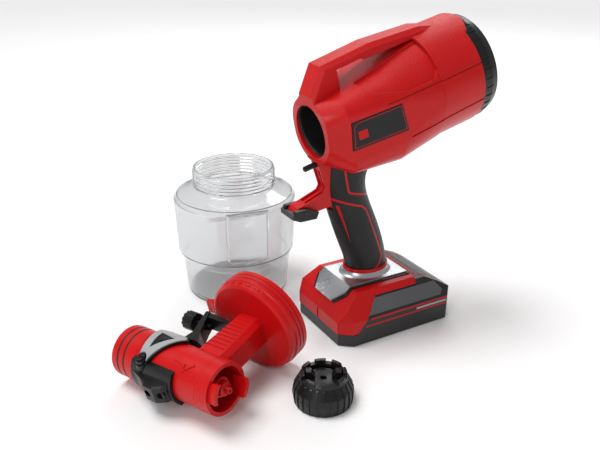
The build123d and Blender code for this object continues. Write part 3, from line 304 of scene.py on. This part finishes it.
def clear_plastic():
    """Clear moulded polypropylene, a little milky, with flow marks."""
    shader = Shader("clear_plastic", (0.90, 0.91, 0.92), 0.09)
    shader.surface.inputs["Transmission Weight"].default_value = 0.88
    shader.surface.inputs["IOR"].default_value = 1.49
    shader.gloss_varies(scale=30.0, amount=0.05)
    shader.bump(shader.noise(35.0, detail=1.0), strength=0.06, distance=0.0008)
    return shader.done()


def foam():
    """Open-celled filter foam."""
    shader = Shader("foam", (0.03, 0.03, 0.033), 0.95)
    shader.mottle(scale=400.0, amount=0.5)
    shader.bump(shader.noise(900.0, detail=3.0), strength=0.9, distance=0.0006)
    return shader.done()


def wound_wire():
    """Enamelled copper, wound so that each turn shows."""
    shader = Shader("wound_wire", (0.50, 0.17, 0.05), 0.30, metallic=0.8)
    wave = shader.add("ShaderNodeTexWave", Scale=900.0, Distortion=0.4)
    shader.link(shader.place, wave.inputs["Vector"])
    shader.mottle(scale=300.0, amount=0.3)
    shader.bump(wave.outputs["Fac"], strength=0.6, distance=0.0003)
    return shader.done()


def circuit():
    """Green board with lighter copper patches under the lacquer."""
    shader = Shader("circuit", BOARD_GREEN, 0.35)
    tracks = shader.add("ShaderNodeTexBrick", Scale=160.0)
    shader.link(shader.place, tracks.inputs["Vector"])
    copper = shader.spread(tracks.outputs["Fac"], 0.0, 0.5, from_low=0.0, from_high=1.0)
    shader.mix_colour(copper, TRACK_GREEN)
    shader.bump(tracks.outputs["Fac"], strength=0.2, distance=0.0001)
    return shader.done()


def make_finish():
    """One material for each slot of the record."""
    return {
        "red_plastic": red_plastic(),
        "black_plastic": black_plastic("black_plastic", 0.32),
        "grip_rubber": grip_rubber(),
        "inner_plastic": moulded("inner_plastic", (0.035, 0.035, 0.038), 0.55, depth=0.15).done(),
        "badge_black": black_plastic("badge_black", 0.42),
        "bright_metal": bright_plate(),
        "steel": metal("steel", (0.52, 0.53, 0.55), 0.30),
        "black_steel": metal("black_steel", (0.05, 0.05, 0.055), 0.30),
        "winding": wound_wire(),
        "aluminium": metal("turned_aluminium", (0.72, 0.73, 0.75), 0.28, stretch=(3.0, 1.0, 1.0)),
        "brass": metal("brass", (0.70, 0.47, 0.17), 0.25),
        "foam": foam(),
        "battery_grey": moulded("battery_shell", (0.010, 0.010, 0.011), 0.36, depth=0.14).done(),
        "bar_grey": moulded("bar_grey", (0.10, 0.10, 0.105), 0.35).done(),
        "cell_wrap": moulded("cell_wrap", (0.02, 0.11, 0.30), 0.30).done(),
        "circuit": circuit(),
        "seal_rubber": seal_rubber(),
        "plate_grey": moulded("plate_grey", (0.36, 0.37, 0.38), 0.33, depth=0.15).done(),
        "clear_plastic": clear_plastic(),
    }


def dress_nodes():
    """Give every carried-over piece the material of its slot, or one of its own."""
    housing = red_housing()
    own = {
        "housing_near": housing,
        "housing_far": housing,
        # The outlet socket's own dark plastic is made near-black: painted shade for the dark inside of
        # the air outlet's mouth.
        "outlet_socket": black_plastic("socket_black_painted_shade", 0.5),
    }
    slots = {part["node"]: part["material_slot"] for part in frame["record"]["subparts"]}
    for name, piece in nodes.items():
        piece.data.materials.clear()
        piece.data.materials.append(own.get(name, finish[slots[name]]))


finish = make_finish()
dress_nodes()


# ------------------------------------------------------------------ helpers for added pieces
def flat_frame(origin, along, up):
    """Matrix from local millimetres (along, up, out) to the shared frame in metres."""
    along, up = Vector(along).normalized(), Vector(up).normalized()
    out = along.cross(up)
    turn = Matrix((along, up, out)).transposed().to_4x4()
    return Matrix.Translation(Vector(origin)) @ turn @ Matrix.Scale(MM, 4)


def surface_of(*names):
    """Ray-casting tree over some of the carried-over nodes."""
    points, faces = [], []
    for name in names:
        mesh = nodes[name].data
        start = len(points)
        points.extend(v.co.copy() for v in mesh.vertices)
        faces.extend([start + i for i in p.vertices] for p in mesh.polygons)
    return BVHTree.FromPolygons(points, faces)


def even_path(path, closed, step=1.5):
    """The path's points with more between them, at most step apart."""
    ends = path + path[:1] if closed else path
    points = []
    for a, b in zip(ends, ends[1:]):
        a, b = Vector(a), Vector(b)
        count = max(1, math.ceil((b - a).length / step))
        points.extend(a.lerp(b, i / count) for i in range(count))
    if not closed:
        points.append(Vector(ends[-1]))
    return points


def side_steps(points, closed):
    """Unit mitre vector at each point, to the left of the path."""
    steps = []
    last = len(points) - 1
    for i, point in enumerate(points):
        before = points[i - 1] if i > 0 or closed else point
        after = points[(i + 1) % len(points)] if i < last or closed else point
        into = (point - before).normalized() if point != before else (after - point).normalized()
        out = (after - point).normalized() if point != after else into
        left_in = Vector((-into.y, into.x))
        left_out = Vector((-out.y, out.x))
        mitre = (left_in + left_out).normalized()
        steps.append(mitre / max(0.5, mitre.dot(left_in)))
    return steps


def laid_down(place, plane, target, raised):
    """Points just under and just above the surface, straight behind a place on the plane."""
    inward = -(plane.to_3x3() @ Vector((0, 0, 1))).normalized()
    start = plane @ Vector((place.x, place.y, CAST_HEIGHT))
    hit = target.ray_cast(start, inward)[0]
    if hit is None:
        hit = start + inward * CAST_HEIGHT * MM
    return hit + inward * MARK_SUNK, hit - inward * raised * MM


def strip_mesh(name, rows, closed):
    """Closed skin around rows of (low, high) points, each row square to the strip's length."""
    builder = bmesh.new()
    rows = [[(builder.verts.new(low), builder.verts.new(high)) for low, high in row] for row in rows]
    gaps = range(len(rows[0]) - 1)
    pairs = list(zip(rows, rows[1:])) + ([(rows[-1], rows[0])] if closed else [])
    for a, b in pairs:
        for i in gaps:
            builder.faces.new((a[i][1], b[i][1], b[i + 1][1], a[i + 1][1]))
            builder.faces.new((a[i][0], a[i + 1][0], b[i + 1][0], b[i][0]))
        builder.faces.new((a[0][0], b[0][0], b[0][1], a[0][1]))
        builder.faces.new((a[-1][0], a[-1][1], b[-1][1], b[-1][0]))
    if not closed:
        for row in (rows[0], rows[-1]):
            for i in gaps:
                builder.faces.new((row[i][0], row[i][1], row[i + 1][1], row[i + 1][0]))
    bmesh.ops.recalc_face_normals(builder, faces=builder.faces)
    mesh = bpy.data.meshes.new(name)
    builder.to_mesh(mesh)
    builder.free()
    return mesh


def ribbon(name, path, width, plane, target, body, slot, closed=False, raised=0.25, across=2):
    """A thin raised strip along a path drawn on a plane, laid on the surface behind the plane.

    Lengths are in millimetres; across is how many faces wide the strip is.
    """
    points = even_path(path, closed)
    rows = []
    for point, step in zip(points, side_steps(points, closed)):
        places = [point + step * width * (i / across - 0.5) for i in range(across + 1)]
        rows.append([laid_down(place, plane, target, raised) for place in places])
    mesh = strip_mesh(name, rows, closed)
    mesh.materials.append(finish[slot])
    piece = bpy.data.objects.new(name, mesh)
    bpy.context.scene.collection.objects.link(piece)
    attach(piece, body)


# ------------------------------------------------------------------ pieces with no solid of their own
def badge_marks():
    """Printed red border and square on the badge; the lettering is left out."""
    plane = flat_frame(MOUTH, BARREL_AXIS, BARREL_UP)
    target = surface_of("badge")
    ribbon("badge_border", BADGE_BORDER, 0.45, plane, target, "power_unit", "red_plastic",
           closed=True, raised=0.12)
    ribbon("badge_tile", BADGE_TILE, 7.2, plane, target, "power_unit", "red_plastic",
           raised=0.14, across=4)


def battery_marks():
    """Coloured inlays on the battery's sides and rear deck."""
    target = surface_of("battery_top", "battery_base", "battery_bars")
    for side, sign in (("near", -1), ("far", 1)):
        plane = flat_frame((0, 0, 0), (-sign, 0, 0), (0, 0, 1))
        path = ((-sign * SILVER_START, SILVER_Z), (-sign * SILVER_END, SILVER_Z))
        ribbon(f"battery_silver_{side}", path, 2.0, plane, target, "battery", "plate_grey", raised=0.2)
    deck = flat_frame((0, 0, 0), (1, 0, 0), (0, 1, 0))
    for side, y in (("near", -DECK_LINE_Y), ("far", DECK_LINE_Y)):
        path = ((DECK_START, y), (DECK_END, y))
        ribbon(f"deck_line_{side}", path, 1.6, deck, target, "battery", "red_plastic")
    path = ((DECK_BAND_X, -DECK_BAND_Y), (DECK_BAND_X, DECK_BAND_Y))
    ribbon("deck_band", path, 2.4, deck, target, "battery", "red_plastic")


def tube_mark():
    """Raised arrow on the upper side of the spray head's tube: which way the cap turns."""
    plane = flat_frame(HEAD_FRONT, HEAD_AXIS, HEAD_SIDE.cross(HEAD_AXIS))
    target = surface_of("head_body")
    ribbon("tube_arrow", TUBE_ARROW, 1.6, plane, target, "head", "red_plastic", raised=0.8)


badge_marks()
battery_marks()
tube_mark()


# ------------------------------------------------------------------ floor, light and camera
def make_floor():
    """Plain pale floor, a hair below the pieces that stand on it."""
    reach = FLOOR_REACH
    corners = [(-reach, -reach, 0), (reach, -reach, 0), (reach, reach, 0), (-reach, reach, 0)]
    mesh = bpy.data.meshes.new("floor")
    mesh.from_pydata(corners, [], [(0, 1, 2, 3)])
    floor = bpy.data.objects.new("floor", mesh)
    bpy.context.scene.collection.objects.link(floor)
    floor.location.z = -FLOOR_DROP
    shader = Shader("floor_white", (0.90, 0.90, 0.90), 0.6)
    mesh.materials.append(shader.mottle(scale=3.0, amount=0.01).done())


def add_lamp(name, light, direction):
    """Put a light into the scene, shining along a direction."""
    lamp = bpy.data.objects.new(name, light)
    bpy.context.scene.collection.objects.link(lamp)
    lamp.rotation_euler = Vector(direction).to_track_quat("-Z", "Y").to_euler()
    return lamp


def area_light(name, place, size, power):
    """Soft box that points at the middle of the layout."""
    light = bpy.data.lights.new(name, "AREA")
    light.shape = "RECTANGLE"
    light.size, light.size_y = size
    light.energy = power
    lamp = add_lamp(name, light, LIGHT_TARGET - Vector(place))
    lamp.location = place


def sun_light(name, direction, strength, spread):
    """Even light from far off; spread softens its shadows."""
    light = bpy.data.lights.new(name, "SUN")
    light.energy = strength
    light.angle = math.radians(spread)
    add_lamp(name, light, direction)


def make_light():
    """White sky, a soft overhead light and two soft boxes."""
    world = bpy.data.worlds.new("studio")
    world.use_nodes = True
    sky = world.node_tree.nodes["Background"]
    sky.inputs["Color"].default_value = (1.0, 1.0, 1.0, 1.0)
    sky.inputs["Strength"].default_value = SKY_STRENGTH
    bpy.context.scene.world = world
    sun_light("overhead", (0.30, -0.25, -1.0), strength=2.0, spread=30.0)
    area_light("left_front", (-1.30, -0.75, 0.95), size=(0.5, 0.8), power=7.0)
    area_light("right_rear", (0.90, 1.10, 1.20), size=(1.2, 0.4), power=9.0)


def make_camera():
    """Camera at the photograph's angle."""
    data = bpy.data.cameras.new("camera")
    data.lens = CAMERA_LENS
    data.sensor_width = CAMERA_SENSOR
    data.clip_start = CAMERA_NEAREST
    camera = bpy.data.objects.new("camera", data)
    bpy.context.scene.collection.objects.link(camera)
    look = Vector((
        -math.sin(CAMERA_TURN) * math.cos(CAMERA_DOWN),
        math.cos(CAMERA_TURN) * math.cos(CAMERA_DOWN),
        -math.sin(CAMERA_DOWN),
    ))
    camera.location = CAMERA_PLACE
    camera.rotation_euler = look.to_track_quat("-Z", "Y").to_euler()
    bpy.context.scene.camera = camera


make_floor()
make_light()
make_camera()
bpy.context.scene.view_settings.view_transform = "Standard"
